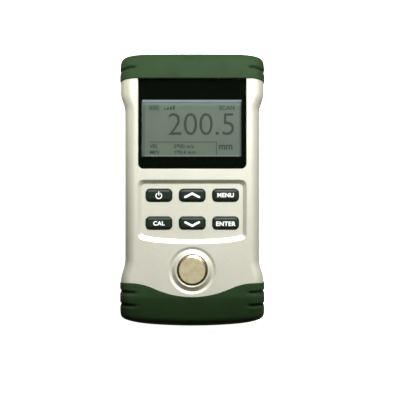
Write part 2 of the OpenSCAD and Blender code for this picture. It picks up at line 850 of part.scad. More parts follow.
// Coaxial leads from the sockets, bent up to the board
module probe_leads() color([0.15, 0.15, 0.16]) {
    start = neck_end - socket_tail - insulator_tail - fit / 2;
    turn = start - lead_run;
    rise = board_z - fit / 2 - socket_z - lead_bend;
    for (x = [-1, 1])
        translate([x * socket_pitch / 2, turn, socket_z]) {
            rotate([-90, 0, 0])
                cylinder(r = lead_radius, h = start - turn);
            translate([0, 0, lead_bend])
                rotate([0, 90, 0])
                    rotate_extrude(angle = -90)
                        translate([lead_bend, 0])
                            circle(lead_radius);
            translate([0, -lead_bend, lead_bend])
                cylinder(r = lead_radius, h = rise);
        }
}

module battery_door() color(housing_colour) {
    w = door_half - running;
    z = rear_z + door_thickness;
    back = bay_upper - running;
    translate([0, 0, rear_z])
        linear_extrude(door_thickness)
            round_rect(-w, door_pivot_y, w, bay_upper + door_margin - running, door_corner - running);
    across(door_pivot_y, door_pivot_z, barrel_radius, w);
    across(door_pivot_y, door_pivot_z, hinge_pin, w + hinge_pin_length);
    box([-latch_half, back - latch_thickness, z - overlap], [latch_half, back, z + latch_reach]);
}

// Cell between its two ends: the button points along +Y when up = 1
module cell(x, low, up) color([0.2, 0.36, 0.24]) {
    r = cell_diameter / 2;
    shoulder = cell_length - button_height;
    translate([x, low + cell_length / 2, cell_z])
        rotate([-90 * up, 0, 0])
            translate([0, 0, -cell_length / 2])
                rotate_extrude()
                    polygon([[0, 0], [r - cell_edge, 0], [r, cell_edge], [r, shoulder - cell_edge],
                        [r - cell_edge, shoulder], [button_radius, shoulder], [button_radius, cell_length],
                        [0, cell_length]]);
}

module battery_left() {
    cell(-cell_x, bay_lower + spring_room, 1);
}

module battery_right() {
    cell(cell_x, bay_lower + plate_room, -1);
}

// Coil of wire that narrows towards the cell
module coil(height, turns) {
    n = 14 * turns;
    bend = wire / 2;
    function radius(t) = coil_base + (coil_top - coil_base) * t;
    function rise(t) = bend + (height - wire) * t;
    function at(t, out, up) = let (a = 360 * turns * t, r = radius(t) + out)
        [r * cos(a), rise(t) + up, r * sin(a)];
    loft([for (j = [0:n]) [for (i = [5:-1:0]) at(j / n, bend * cos(60 * i), bend * sin(60 * i))]],
        [at(0, 0, 0), at(1, 0, 0)]);
}

module battery_springs() color(steel) {
    seat = contact_metal + 1.5 * fit;
    height = spring_room - contact_metal - 2 * fit;
    translate([-cell_x, bay_lower + seat, cell_z])
        coil(height, 3);
    translate([cell_x, bay_upper - seat, cell_z])
        rotate([0, 0, 180])
            coil(height, 3);
}

module battery_plates() color(steel) {
    low = bay_lower + fit;
    high = bay_upper - fit - contact_metal;
    half = contact_half;
    box([-cell_x - half, low, cell_z - contact_drop], [cell_x + half, low + contact_metal, cell_z + half]);
    along(cell_x, cell_z, contact_bump, low + contact_metal / 2, bay_lower + plate_room - fit);
    for (x = [-cell_x, cell_x])
        box([x - half, high, cell_z - contact_drop], [x + half, high + contact_metal, cell_z + half]);
    along(-cell_x, cell_z, contact_bump, bay_upper - plate_room + fit, high + contact_metal / 2);
}

// Screw from below with a cross recess: head from z0, shank up to z1
module cross_screw(x, y, head, head_height, shank, z0, z1) {
    difference() {
        union() {
            post(x, y, head, z0, z0 + head_height);
            post(x, y, shank, z0 + head_height / 2, z1);
        }
        translate([x, y, z0])
            for (a = [0, 90])
                rotate([0, 0, a])
                    cube([head * 1.2, head * 0.24, head_height], center = true);
    }
}

module case_screws() color(steel) {
    for (x = [-1, 1], y = screws_y)
        cross_screw(x * screw_x, y, screw_head, screw_head_height, screw_shank,
            rear_z + screw_counterbore + fit - screw_head_height, split_z + screw_grip);
}

module board_screws() color(steel) {
    for (x = [-1, 1], y = board_posts_y)
        cross_screw(x * board_post_x, y, board_screw_head, board_screw_height, board_screw,
            board_z - fit / 2 - board_screw_height, keypad_inside - board_screw_end);
}

front_shell();
rear_shell();
top_boot();
bottom_boot();
display_lens();
lens_gasket();
lcd_panel();
lcd_backlight();
lcd_holder();
zebra_strips();
main_board();
board_components();
keypad_mat();
key_power();
key_up();
key_menu();
key_cal();
key_down();
key_enter();
test_block();
probe_socket_left();
probe_socket_right();
socket_insulators();
socket_nuts();
probe_leads();
battery_door();
battery_left();
battery_right();
battery_springs();
battery_plates();
case_screws();
board_screws();
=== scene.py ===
from math import atan, atan2, cos, pi, radians, sin, sqrt

import bmesh
import bpy
import numpy as np
from mathutils import Matrix, Vector
from numpy.linalg import norm


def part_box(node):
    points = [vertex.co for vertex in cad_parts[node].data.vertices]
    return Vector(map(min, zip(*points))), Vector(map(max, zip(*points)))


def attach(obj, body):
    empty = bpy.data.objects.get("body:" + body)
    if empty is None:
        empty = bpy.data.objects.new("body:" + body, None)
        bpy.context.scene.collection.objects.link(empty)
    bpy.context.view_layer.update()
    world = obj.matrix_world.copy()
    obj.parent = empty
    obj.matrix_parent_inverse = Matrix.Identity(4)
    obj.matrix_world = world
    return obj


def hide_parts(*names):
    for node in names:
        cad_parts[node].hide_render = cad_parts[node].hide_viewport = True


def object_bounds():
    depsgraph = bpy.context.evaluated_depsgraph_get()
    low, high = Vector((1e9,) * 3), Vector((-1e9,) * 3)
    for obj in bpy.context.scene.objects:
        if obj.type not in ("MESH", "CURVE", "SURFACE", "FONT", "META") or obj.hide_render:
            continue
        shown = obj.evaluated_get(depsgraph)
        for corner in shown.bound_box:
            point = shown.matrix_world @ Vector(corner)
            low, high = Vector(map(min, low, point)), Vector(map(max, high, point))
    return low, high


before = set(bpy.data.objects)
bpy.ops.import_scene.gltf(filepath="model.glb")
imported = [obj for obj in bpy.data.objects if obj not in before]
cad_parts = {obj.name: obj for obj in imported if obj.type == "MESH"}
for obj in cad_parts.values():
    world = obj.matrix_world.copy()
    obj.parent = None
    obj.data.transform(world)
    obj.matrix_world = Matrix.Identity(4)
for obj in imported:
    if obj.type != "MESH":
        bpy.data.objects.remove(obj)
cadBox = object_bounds()
mm = 0.001
axisGap = 0.01    # mm from its axis, where a turned profile ends
scene = bpy.context.scene


# Node helpers: a value that is a socket is linked, anything else is set
def put(tree, kind, inputs=None, **settings):
    node = tree.nodes.new(kind)
    for key, value in settings.items():
        setattr(node, key, value)
    for key, value in (inputs or {}).items():
        socket = node.inputs[key]
        if isinstance(value, bpy.types.NodeSocket):
            tree.links.new(value, socket)
        else:
            socket.default_value = value
    return node


def out(tree, kind, inputs=None, **settings):
    return put(tree, kind, inputs, **settings).outputs[0]


def newMaterial(name):
    material = bpy.data.materials.new(name)
    material.use_nodes = True
    tree = material.node_tree
    tree.nodes.clear()
    coords = put(tree, "ShaderNodeTexCoord").outputs["Object"]
    return material, tree, coords


def close(tree, shader):
    put(tree, "ShaderNodeOutputMaterial", {"Surface": shader.outputs[0]})


def coat(tree, inputs):
    close(tree, put(tree, "ShaderNodeBsdfPrincipled", inputs))


def noise(tree, coords, size, detail=3.0):
    inputs = {"Vector": coords, "Scale": 1 / (size * mm), "Detail": detail}
    return put(tree, "ShaderNodeTexNoise", inputs).outputs["Fac"]


def between(tree, value, low, high, fromLow=0.3, fromHigh=0.7):
    return out(tree, "ShaderNodeMapRange", {"Value": value, "From Min": fromLow, "From Max": fromHigh,
                                           "To Min": low, "To Max": high})


def mix(tree, factor, first, second):
    return put(tree, "ShaderNodeMix", {0: factor, 6: first, 7: second}, data_type="RGBA").outputs[2]


def maths(tree, kind, first, second=0.0):
    return out(tree, "ShaderNodeMath", {0: first, 1: second}, operation=kind)


def times(tree, first, second):
    return maths(tree, "MULTIPLY", first, second)


def xyz(tree, **parts):
    return out(tree, "ShaderNodeCombineXYZ", parts)


def bump(tree, height, depth, normal=None):
    inputs = {"Height": height, "Strength": 1.0, "Distance": depth * mm}
    if normal is not None:
        inputs["Normal"] = normal
    return out(tree, "ShaderNodeBump", inputs)


def rgb(red, green, blue):
    def linear(value):
        value /= 255
        return value / 12.92 if value < 0.04045 else ((value + 0.055) / 1.055) ** 2.4
    return (linear(red), linear(green), linear(blue), 1.0)


# A moulded or plated surface: mottled colour, grain in gloss and relief, sizes in mm
def grained(name, look):
    material, tree, coords = newMaterial(name)
    mottle = noise(tree, coords, look.get("mottle", 6), 4)
    grain = noise(tree, coords, look.get("grain", 0.35))
    colour = mix(tree, between(tree, mottle, 0, 1), look["colour"], look["shade"])
    # painted shade: the colour darkens where a groove is deep, standing in for the shadow in the groove
    if "paintedGrooveShade" in look:    # darker where the mesh says that a groove is deep
        deep = put(tree, "ShaderNodeAttribute", attribute_name="groove").outputs["Fac"]
        colour = mix(tree, maths(tree, "POWER", deep, 2.0), colour, look["paintedGrooveShade"])
    inputs = {"Base Color": colour, "Roughness": between(tree, grain, *look["rough"]),
              "Normal": bump(tree, grain, look.get("relief", 0.01))}
    inputs.update(look.get("sockets", {}))
    coat(tree, inputs)
    return material


# Boot rubber, with painted shade darkening its grooves
bootRubber = grained("bootRubber", {
    "colour": rgb(33, 52, 27), "shade": rgb(29, 47, 24), "rough": (0.6, 0.75), "grain": 0.28,
    "relief": 0.02, "mottle": 9, "paintedGrooveShade": rgb(5, 10, 5),
    "sockets": {"Specular IOR Level": 0.08, "Sheen Weight": 0.06, "Sheen Roughness": 0.35}})
keyRubber = grained("keyRubber", {
    "colour": rgb(22, 34, 24), "shade": rgb(19, 29, 20), "rough": (0.4, 0.52), "grain": 0.22,
    "relief": 0.012, "mottle": 3, "sockets": {"Specular IOR Level": 0.2}})
legendInk = grained("legendInk", {
    "colour": rgb(246, 248, 242), "shade": rgb(236, 239, 231), "rough": (0.45, 0.6), "grain": 0.15,
    "relief": 0.004, "mottle": 1})
printBlack = grained("printBlack", {
    "colour": rgb(7, 10, 6), "shade": rgb(5, 7, 4), "rough": (0.6, 0.7), "grain": 0.4,
    "relief": 0.002, "sockets": {"Specular IOR Level": 0.0}})
lcdInk = grained("lcdInk", {
    "colour": rgb(50, 61, 49), "shade": rgb(54, 65, 53), "rough": (0.4, 0.5), "grain": 0.3,
    "relief": 0.001, "mottle": 2})
foamBlack = grained("foamBlack", {
    "colour": rgb(34, 34, 34), "shade": rgb(26, 26, 26), "rough": (0.8, 0.95), "grain": 0.3,
    "relief": 0.06})
whitePlastic = grained("whitePlastic", {
    "colour": rgb(228, 228, 220), "shade": rgb(220, 219, 210), "rough": (0.38, 0.52), "relief": 0.008})
blackPlastic = grained("blackPlastic", {
    "colour": rgb(26, 26, 28), "shade": rgb(20, 20, 22), "rough": (0.4, 0.55), "relief": 0.012})
contactRubber = grained("contactRubber", {
    "colour": rgb(74, 74, 82), "shade": rgb(60, 60, 68), "rough": (0.6, 0.75), "relief": 0.01})
boardGreen = grained("boardGreen", {
    "colour": rgb(28, 92, 48), "shade": rgb(22, 80, 40), "rough": (0.3, 0.42), "relief": 0.006,
    "mottle": 2})
platedSteel = grained("platedSteel", {
    "colour": rgb(206, 206, 200), "shade": rgb(188, 188, 182), "rough": (0.22, 0.36), "relief": 0.004,
    "mottle": 2, "sockets": {"Metallic": 1.0}})
socketMetal = grained("socketMetal", {
    "colour": rgb(214, 198, 150), "shade": rgb(200, 184, 136), "rough": (0.2, 0.32), "relief": 0.003,
    "mottle": 2, "sockets": {"Metallic": 1.0}})
print("plain finishes made")

# Champagne paint: fine bright flake under a soft clear coat
paint = {
    "colour": rgb(203, 203, 184), "shade": rgb(198, 198, 178), "cloud": 14, "flake": rgb(226, 226, 210),
    "flakeSize": 0.22, "flakeShare": 0.45, "flakeFrom": 0.55, "flakeDepth": 0.012, "peelSize": 0.9,
    "peelDepth": 0.006, "rough": (0.42, 0.52),
    "sockets": {"Metallic": 0.55, "Coat Weight": 0.6, "Coat Roughness": 0.6, "Coat IOR": 1.6}}


def housingPaint():
    material, tree, coords = newMaterial("housingPaint")
    cloud = between(tree, noise(tree, coords, paint["cloud"]), 0, 1)
    flakes = put(tree, "ShaderNodeTexVoronoi", {"Vector": coords, "Scale": 1 / (paint["flakeSize"] * mm)})
    sparkle = between(tree, flakes.outputs["Color"], 0, paint["flakeShare"], paint["flakeFrom"], 1)
    base = mix(tree, cloud, paint["colour"], paint["shade"])
    colour = mix(tree, sparkle, base, paint["flake"])
    peel = bump(tree, noise(tree, coords, paint["peelSize"], 2), paint["peelDepth"])
    grain = bump(tree, flakes.outputs["Distance"], paint["flakeDepth"], peel)
    rough = between(tree, flakes.outputs["Color"], *paint["rough"], 0, 1)
    coat(tree, {"Base Color": colour, "Roughness": rough, "Normal": grain, **paint["sockets"]})
    return material


# Clear lens: a thin gloss over whatever lies behind it
lens = {
    "gloss": rgb(5, 8, 5), "glossShare": 0.12, "rough": (0.04, 0.09), "hazeSize": 5, "hazeDepth": 0.001,
    "tint": (0.96, 0.98, 0.96, 1)}


def clearLens():
    material, tree, coords = newMaterial("clearLens")
    haze = noise(tree, coords, lens["hazeSize"])
    gloss = out(tree, "ShaderNodeBsdfPrincipled", {
        "Base Color": lens["gloss"], "Roughness": between(tree, haze, *lens["rough"]),
        "Specular IOR Level": 0.5, "Normal": bump(tree, haze, lens["hazeDepth"])})
    through = out(tree, "ShaderNodeBsdfTransparent", {"Color": lens["tint"]})
    close(tree, put(tree, "ShaderNodeMixShader", {0: lens["glossShare"], 1: through, 2: gloss}))
    return material


paintFinish = housingPaint()
lensFinish = clearLens()
print("paint and lens finishes made")

# Mesh helpers: weld lengths are in mm, and flat is in degrees
weld = {"cad": 0.002, "made": 0.0005, "flat": 0.3}


def held(name, data):
    holder = bpy.data.objects.new(name, data)
    scene.collection.objects.link(holder)
    return holder


# Plain mesh of an object with its modifiers: the object goes
def bake(holder):
    bpy.context.view_layer.update()
    graph = bpy.context.evaluated_depsgraph_get()
    mesh = bpy.data.meshes.new_from_object(holder.evaluated_get(graph), depsgraph=graph)
    bpy.data.objects.remove(holder)
    return mesh


def addPiece(name, mesh, material, stands=(), body="case"):
    piece = held(name, mesh)
    mesh.materials.clear()
    mesh.materials.append(material)
    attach(piece, body)
    if stands:
        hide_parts(*stands)


# Smooth shading that keeps flats flat and leaves edges over the angle sharp
def shade(mesh, sharpAngle=40):
    if "custom_normal" in mesh.attributes:    # left from the CAD mesh, and hides sharp edges
        mesh.attributes.remove(mesh.attributes["custom_normal"])
    for face in mesh.polygons:
        face.use_smooth = True
    mesh.set_sharp_from_angle(angle=radians(sharpAngle))
    holder = held("holder", mesh)
    weighted = holder.modifiers.new("weighted", "WEIGHTED_NORMAL")
    weighted.keep_sharp = True
    result = bake(holder)
    bpy.data.meshes.remove(mesh)
    return result


# A CAD node's mesh, welded, with its edges rounded by the given steps
def rounded(node, steps):
    shape = bmesh.new()
    shape.from_mesh(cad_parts[node].data)
    bmesh.ops.remove_doubles(shape, verts=shape.verts, dist=weld["cad"] * mm)
    flat = radians(weld["flat"])
    bmesh.ops.dissolve_limit(shape, angle_limit=flat, verts=shape.verts, edges=shape.edges)
    for step in steps:
        chosen = [edge for edge in shape.edges if edge.is_manifold
                  and edge.calc_face_angle() > radians(step.get("angle", 30))
                  and step["where"](sum((v.co for v in edge.verts), Vector()) / 2 / mm)]
        if chosen:
            bmesh.ops.bevel(shape, geom=chosen, offset=step["width"] * mm, offset_type="OFFSET",
                            segments=step.get("segments", 3), profile=0.5, affect="EDGES", clamp_overlap=True)
    mesh = bpy.data.meshes.new(node)
    shape.to_mesh(mesh)
    shape.free()
    return shade(mesh)


def everywhere(p):
    return True


# Closed skin over rows of points, with a fan to a centre point at each end
def gridMesh(name, rows, first, last):
    count = len(rows[0])
    points = [tuple(p * mm for p in point) for row in rows for point in row]
    faces = []
    for j in range(len(rows) - 1):
        for i in range(count):
            a, b = j * count + i, j * count + (i + 1) % count
            faces.append((a, a + count, b + count, b))
    for centre, row, turn in ((first, 0, 1), (last, len(rows) - 1, -1)):
        points.append(tuple(p * mm for p in centre))
        base = row * count
        for i in range(count):
            faces.append((len(points) - 1, base + i, base + (i + 1) % count)[::turn])
    mesh = bpy.data.meshes.new(name)
    mesh.from_pydata(points, [], faces)
    mesh.update()
    return mesh


def outward(mesh):
    shape = bmesh.new()
    shape.from_mesh(mesh)
    bmesh.ops.remove_doubles(shape, verts=shape.verts, dist=weld["made"] * mm)
    bmesh.ops.recalc_face_normals(shape, faces=shape.faces)
    if shape.calc_volume(signed=True) < 0:
        bmesh.ops.reverse_faces(shape, faces=shape.faces)
    shape.to_mesh(mesh)
    shape.free()
    return mesh


def lathe(name, profile, axis, steps=96):
    rows = []
    for radius, height in profile:
        rows.append([(axis[0] + radius * cos(2 * pi * i / steps),
                      axis[1] + radius * sin(2 * pi * i / steps), height) for i in range(steps)])
    return outward(gridMesh(name, rows, (*axis, profile[0][1]), (*axis, profile[-1][1])))


# Profile with each inner corner replaced by a curve of about the given radius
def fillet(profile, radius, steps=4, most=0.45):
    result = [profile[0]]
    for before, corner, after in zip(profile, profile[1:], profile[2:]):
        corner = np.array(corner, float)
        back, ahead = np.array(before) - corner, np.array(after) - corner
        reach = min(radius, most * norm(back), most * norm(ahead))
        start = corner + back / norm(back) * reach
        end = corner + ahead / norm(ahead) * reach
        for k in range(steps + 1):
            t = k / steps
            result.append(tuple((1 - t) ** 2 * start + 2 * t * (1 - t) * corner + t * t * end))
    return result + [profile[-1]]


# Form of the case, as a rule for its section at each place along the length
# A flare is how far from its seam it starts and how long it runs
hull = {
    "halfLength": round(cadBox[1][1] / mm, 2), "endHalf": round(cadBox[1][0] / mm, 2), "waistHalf": 30.1,
    "thickness": 27.0, "split": 13.0, "topSeam": 48.4, "sideSeam": -40.5, "dipSeam": -46.55,
    "topFlare": (14.3, 8.0), "bottomFlare": (10.0, 9.4), "noseDrop": 4.0, "nosePower": 1.2,
    "cornerRadius": 5.2, "leastRadius": 1.2, "radiusShares": (0.9, 0.6), "draft": 0.3, "topBulge": 0.2,
    "bottomBulge": 2.2, "planClose": 9.0, "planPower": 6, "endClose": 5.0, "endPower": 3, "edgeRun": 27.6,
    "edgeShare": 0.605, "topHang": 1.4, "hangStart": 0.7875}
# The ring is how many places a boot has along a quarter's wall, corner and flat
boot = {
    "wall": 2.0, "endWall": 3.2, "lip": 0.38, "innerLip": 0.2, "grooveDepth": 0.55, "grooveHeight": 2.6,
    "grooveReach": 25.2, "grooveFade": 1.2, "topGrooves": [53.7], "bottomGrooves": [-44.5, -50.2],
    "topDroop": 0.7, "bottomDroop": -0.5, "upperShare": 0.32, "skinFrom": 4.6, "skinStep": 0.36,
    "innerStep": 1.5, "ring": (3, 9, 14),
    "tipSteps": [0.0004, 0.004, 0.02, 0.06, 0.15, 0.3, 0.5, 0.8, 1.15, 1.6, 2.1, 2.7, 3.3, 4.0]}


def ease(t):
    return (1 - cos(pi * min(1, max(0, t)))) / 2


# From 0 at the tip to 1 at the reach, rounded by the power
def closing(distance, reach, power):
    t = min(1, max(0, (reach - distance) / reach))
    return (1 - t ** power) ** (1 / power)


def halfWidth(y):
    topStart, topRun = hull["topFlare"]
    bottomStart, bottomRun = hull["bottomFlare"]
    top = ease((y - hull["topSeam"] + topStart) / topRun)
    bottom = ease((hull["sideSeam"] + bottomStart - y) / bottomRun)
    return hull["waistHalf"] + (hull["endHalf"] - hull["waistHalf"]) * max(top, bottom)


# How far the front has fallen towards an end
def nose(y):
    start = hull["topSeam"] if y > 0 else -hull["dipSeam"]
    share = max(0, (abs(y) - start) / (hull["halfLength"] - start))
    return hull["noseDrop"] * share ** hull["nosePower"]


def sectionHalf(y, d):
    tip = hull["halfLength"] - d - abs(y)
    return (halfWidth(y) - d) * closing(tip, hull["planClose"], hull["planPower"])


# How far the edge and the groove of the top boot hang at its sides
def hang(x, y, d):
    start = hull["hangStart"]
    reach = max(0, x / max(0.1, sectionHalf(y, d)) - start) / (1 - start)
    fade = ease((hull["halfLength"] - y) / (hull["halfLength"] - boot["topGrooves"][0]))
    return hull["topHang"] * reach ** 2 * ease((y - hull["topSeam"]) / boot["wall"] + 1) * fade


# Point of the section at y, inset by d: side picks front or rear, part and t pick the place on it
def sectionPoint(y, d, side, part, t):
    half = sectionHalf(y, d)
    depth = hull["thickness"] - nose(y) - d - hull["split"] if side > 0 else hull["split"] - d
    height = depth * closing(hull["halfLength"] - d - abs(y), hull["endClose"], hull["endPower"])
    ofHeight, ofHalf = hull["radiusShares"]
    radius = max(hull["leastRadius"], hull["cornerRadius"] - d)
    radius = min(radius, ofHeight * height, ofHalf * half)
    centre = half - hull["draft"] * height / hull["split"] - radius
    if part == "wall":
        x, z = half + (centre + radius - half) * t, (height - radius) * t
    elif part == "corner":
        x = centre + radius * cos(pi / 2 * t)
        z = height - radius + radius * sin(pi / 2 * t)
    else:
        x, z = centre * (1 - t), height
    return x, hull["split"] + side * z


# Places round a section: side of x, side of z, part of the quarter and place on that part
def ringPlan(wall, corner, flat):
    quarter = [("wall", k / wall) for k in range(wall)]
    quarter += [("corner", k / corner) for k in range(corner)]
    quarter += [("flat", 1 - cos(pi / 2 * k / flat)) for k in range(flat)]
    plan = [(1, 1, part, t) for part, t in quarter] + [(1, 1, "flat", 1)]
    plan += [(-1, 1, part, t) for part, t in reversed(quarter)]
    plan += [(-1, -1, part, t) for part, t in quarter[1:]] + [(1, -1, "flat", 1)]
    return plan + [(1, -1, part, t) for part, t in reversed(quarter[1:])]


# Wavy edge of the bottom boot: an arc round the test block between two opposite arcs
def edgeY(x):
    dip, run = hull["sideSeam"] - hull["dipSeam"], hull["edgeRun"]
    angle = 2 * atan(dip / run)
    total = run / sin(angle)
    middle = hull["edgeShare"] * total
    outer = total - middle
    x = abs(x)
    if x < middle * sin(angle):
        return hull["dipSeam"] + middle - sqrt(middle ** 2 - x ** 2)
    if x < run:
        return hull["sideSeam"] - outer + sqrt(outer ** 2 - (run - x) ** 2)
    return hull["sideSeam"]


# Depth of the grooves at y, from 0 to 1: the wall towards the top end is the steeper one
def grooveAt(y, centres):
    depth = 0.0
    for centre in centres:
        share = boot["upperShare"] if y > centre else 1 - boot["upperShare"]
        depth = max(depth, ease(1 - abs(y - centre) / (share * boot["grooveHeight"])))
    return depth


# Rings of a boot, as distance from the tip and inset: outer skin, lip, inner skin
def bootStations(span):
    wall, lip, inner = boot["wall"], boot["lip"], boot["innerLip"]
    stations = [(e, 0.0) for e in boot["tipSteps"]]
    e = boot["skinFrom"]
    while e < span - lip - inner:
        stations.append((e, 0.0))
        e += boot["skinStep"]
    for k in range(6):
        turn = pi / 2 * k / 5
        stations.append((span - lip * (1 - sin(turn)), lip * (1 - cos(turn))))
    for k in range(4):
        turn = pi / 2 * k / 3
        stations.append((span - inner * (1 - cos(turn)), wall - inner * (1 - sin(turn))))
    e = span - boot["innerStep"]
    while e > boot["endWall"] + 0.05:
        stations.append((e, wall))
        e -= boot["innerStep"]
    return stations + [(boot["endWall"], wall)]


# Rubber boot: way is its end of the case, and with follow its rings run into the wavy edge
def bootMesh(name, way, mouth, grooves, follow):
    tip = way * hull["halfLength"]
    span = abs(tip - mouth)
    droop = boot["topDroop"] if way > 0 else boot["bottomDroop"]
    bulge = hull["topBulge"] if way > 0 else hull["bottomBulge"]
    plan = ringPlan(*boot["ring"])
    rows, depths = [], []
    for e, d in bootStations(span):
        row = []
        for sideX, sideZ, part, t in plan:
            y = tip - way * e
            for _ in range(3 if follow else 1):
                x, z = sectionPoint(y, d, sideZ, part, t)
                if follow:
                    y = tip + (edgeY(x) - tip) * e / span
            cut = 0.0
            if d == 0:
                past = (x - boot["grooveReach"]) / (hull["endHalf"] - boot["grooveReach"])
                cut = grooveAt(y + droop * max(0, past) ** 2, grooves)
                cut *= ease((x - boot["grooveReach"]) / boot["grooveFade"] + 1)
                deepX, deepZ = sectionPoint(y, boot["grooveDepth"], sideZ, part, t)
                x, z = x + (deepX - x) * cut, z + (deepZ - z) * cut
            depths.append(cut)
            reach = max(0, 1 - (hull["halfLength"] - d - abs(y)) / hull["planClose"])
            shift = bulge * reach * (x / hull["endHalf"]) ** 2
            row.append((sideX * x, y - way * shift - hang(x, y, d), z))
        rows.append(row)
    endY = tip - way * boot["endWall"]
    mesh = gridMesh(name, rows, (0, tip, hull["split"]), (0, endY, hull["split"]))
    # groove depth at each point, which the rubber uses for its painted shade
    mesh.attributes.new("groove", "FLOAT", "POINT").data.foreach_set("value", depths + [0.0, 0.0])
    return outward(mesh)


# Sockets in the end of the top boot, with a flared mouth so the rubber's edge is eased
socketSpot = {"x": 9.0, "z": 13.0, "hole": 4.25, "flare": 0.35}


def cutSocketHoles(mesh):
    end, hole, flare = hull["halfLength"], socketSpot["hole"], socketSpot["flare"]
    profile = [(hole, end - boot["endWall"] - 1), (hole, end - 2 * flare)]
    for k in range(1, 6):
        turn = pi / 2 * k / 5
        profile.append((hole + flare * (1 - cos(turn)), end - flare * (1 - sin(turn))))
    profile.append((hole + flare, end + 1))
    blank = held("bootBlank", mesh)
    cutters = []
    for x in (-socketSpot["x"], socketSpot["x"]):
        cutter = lathe("socketCutter", profile, (0, 0), 64)
        laid = Matrix.Rotation(-pi / 2, 4, "X")
        cutter.transform(Matrix.Translation((x * mm, 0, socketSpot["z"] * mm)) @ laid)
        cutters.append(held("socketCutter", cutter))
        cut = blank.modifiers.new("hole", "BOOLEAN")
        cut.operation, cut.solver, cut.object = "DIFFERENCE", "EXACT", cutters[-1]
    result = bake(blank)
    for cutter in cutters:
        bpy.data.objects.remove(cutter)
    return result


topBoot = cutSocketHoles(bootMesh("topBoot", 1, hull["topSeam"], boot["topGrooves"], False))
addPiece("topBoot", shade(topBoot, 45), bootRubber, ["top_boot"])
bottomBoot = bootMesh("bottomBoot", -1, hull["sideSeam"], boot["bottomGrooves"], True)
addPiece("bottomBoot", shade(bottomBoot, 45), bootRubber, ["bottom_boot"])
print("boots made")

# Housing shells: zones where edges are eased
keys = {"names": ["power", "up", "menu", "cal", "down", "enter"], "lip": 0.9, "hole": 0.25, "slack": 0.3,
        "edge": 1.5, "room": 0.1, "bevel": 0.3}
keyBoxes = {name: [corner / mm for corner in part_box("key_" + name)] for name in keys["names"]}
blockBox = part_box("test_block")
blockCentre = (blockBox[0] + blockBox[1]) / 2
zones = {
    "recessTop": 5, "crescentTop": -12, "recessFoot": -24, "recessFloor": 25.2, "panelHalf": 24,
    "panelFoot": 8.5, "front": 26, "bossReach": 10.5, "splitBand": 0.05, "splitHalf": 29, "back": 1,
    "socketMouth": 56}


def inKeyHole(p):
    reach = keys["lip"] - keys["hole"] - keys["slack"]
    return any(low.x + reach < p.x < high.x - reach and low.y + reach < p.y < high.y - reach
               for low, high in keyBoxes.values())


def aboveRecess(p):
    return p.z > zones["recessFloor"]


def onFront(p):
    return p.z > zones["front"]


def onRecess(p):
    inside = zones["recessFoot"] < p.y < zones["recessTop"] and abs(p.x) < zones["panelHalf"]
    return inside and aboveRecess(p) and not inKeyHole(p)


def atRecessFoot(p):
    return onRecess(p) and p.y < zones["crescentTop"]


def onBoss(p):
    return (p.xy - blockCentre.xy / mm).length < zones["bossReach"] and onFront(p)


def onPanelPocket(p):
    return onFront(p) and p.y > zones["panelFoot"] and abs(p.x) < zones["panelHalf"]


def atKeyHole(p):
    return inKeyHole(p) and aboveRecess(p)


def atSplit(p):
    return abs(p.z - hull["split"]) < zones["splitBand"] and abs(p.x) > zones["splitHalf"]


splitStep = {"width": 0.14, "segments": 2, "where": atSplit}
frontSteps = [
    {"width": 0.16, "where": atRecessFoot, "angle": 15},
    {"width": 0.45, "segments": 4, "where": onRecess, "angle": 20},
    {"width": 0.25, "where": onBoss, "angle": 12},
    {"width": 0.16, "where": onPanelPocket}, {"width": 0.22, "where": atKeyHole}, splitStep]
rearSteps = [{"width": 0.2, "where": lambda p: p.z < zones["back"]}, splitStep]
doorSteps = [{"width": 0.18, "where": everywhere}]
addPiece("frontShell", rounded("front_shell", frontSteps), paintFinish, ["front_shell"])
addPiece("rearShell", rounded("rear_shell", rearSteps), paintFinish, ["rear_shell"])
addPiece("batteryDoor", rounded("battery_door", doorSteps), paintFinish, ["battery_door"],
         "battery_door")
print("shells made")

# Display: clear lens, black print behind its border, and the panel with its marks
window = {
    "left": -21.9, "right": 21.45, "low": 14.5, "high": 39.17, "inset": 0.03, "corner": 2.2,
    "print": (25.22, 25.28)}
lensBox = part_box("display_lens")
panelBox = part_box("lcd_panel")
lensSteps = [{"width": 0.18, "where": onFront}]
addPiece("displayLens", rounded("display_lens", lensSteps), lensFinish, ["display_lens"])


# Flat outline that is square above, with round corners below
def panelOutline(half, low, high, radius, steps=10):
    points = [(half, high), (-half, high)]
    for centre, start in ((-half + radius, pi), (half - radius, 1.5 * pi)):
        for k in range(steps + 1):
            turn = start + pi / 2 * k / steps
            points.append((centre + radius * cos(turn), low + radius + radius * sin(turn)))
    return points


# Thin flat solid between z levels, from closed outlines: those after the first are holes
def sheetMesh(name, outlines, low, high):
    curve = bpy.data.curves.new(name, "CURVE")
    curve.dimensions = "2D"
    curve.fill_mode = "BOTH"
    curve.extrude = (high - low) / 2 * mm
    for outline in outlines:
        spline = curve.splines.new("POLY")
        spline.points.add(len(outline) - 1)
        for point, place in zip(spline.points, outline):
            point.co = (place[0] * mm, place[1] * mm, 0, 1)
        spline.use_cyclic_u = True
    mesh = bake(held(name, curve))
    mesh.transform(Matrix.Translation((0, 0, (low + high) / 2 * mm)))
    return outward(mesh)


def rectangle(x0, y0, x1, y1):
    return [(x0, y0), (x1, y0), (x1, y1), (x0, y1)]


border = panelOutline(lensBox[1].x / mm - window["inset"], lensBox[0].y / mm + window["inset"],
                      lensBox[1].y / mm - window["inset"], window["corner"])
opening = rectangle(window["left"], window["low"], window["right"], window["high"])
addPiece("lensPrint", sheetMesh("lensPrint", [border, opening], *window["print"]), printBlack)
